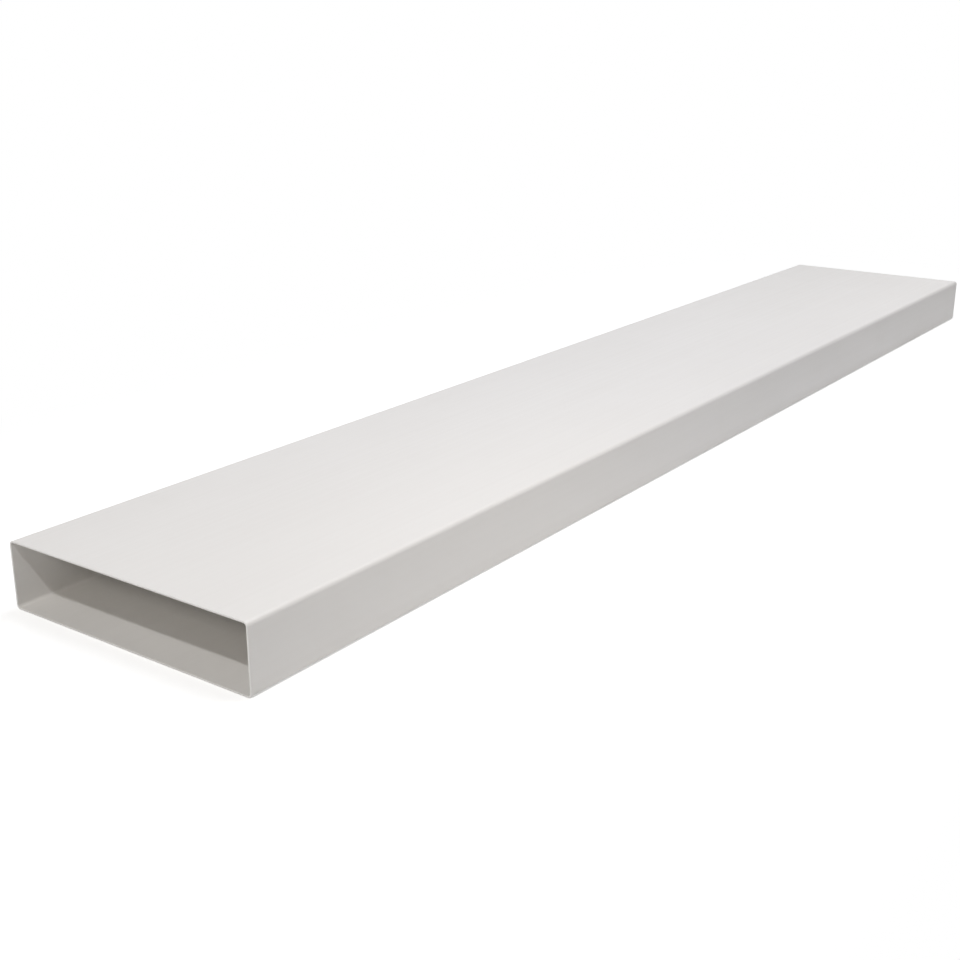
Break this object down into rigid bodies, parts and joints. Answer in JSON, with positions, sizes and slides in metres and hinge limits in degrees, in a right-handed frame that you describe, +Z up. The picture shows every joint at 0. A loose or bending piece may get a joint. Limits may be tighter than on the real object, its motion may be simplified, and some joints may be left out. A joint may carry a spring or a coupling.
{
  "type": "flat channel duct",
  "caption": "Straight length of flat rectangular ventilation duct in rigid white PVC: a thin-walled tube with rounded long corners, cut square and open at its ends.",
  "frame": {"origin": "under the middle of the duct, at the centre of the broad face that it lies on", "axes": "+X along the duct's length, +Y across its broad walls, +Z up through its height"},
  "size_m": [1.5, 0.256, 0.0575],
  "materials": {
    "white_pvc": "satin"
  },
  "bodies": {
    "root": {"channel_duct": "white_pvc"}
  },
  "joints": []
}
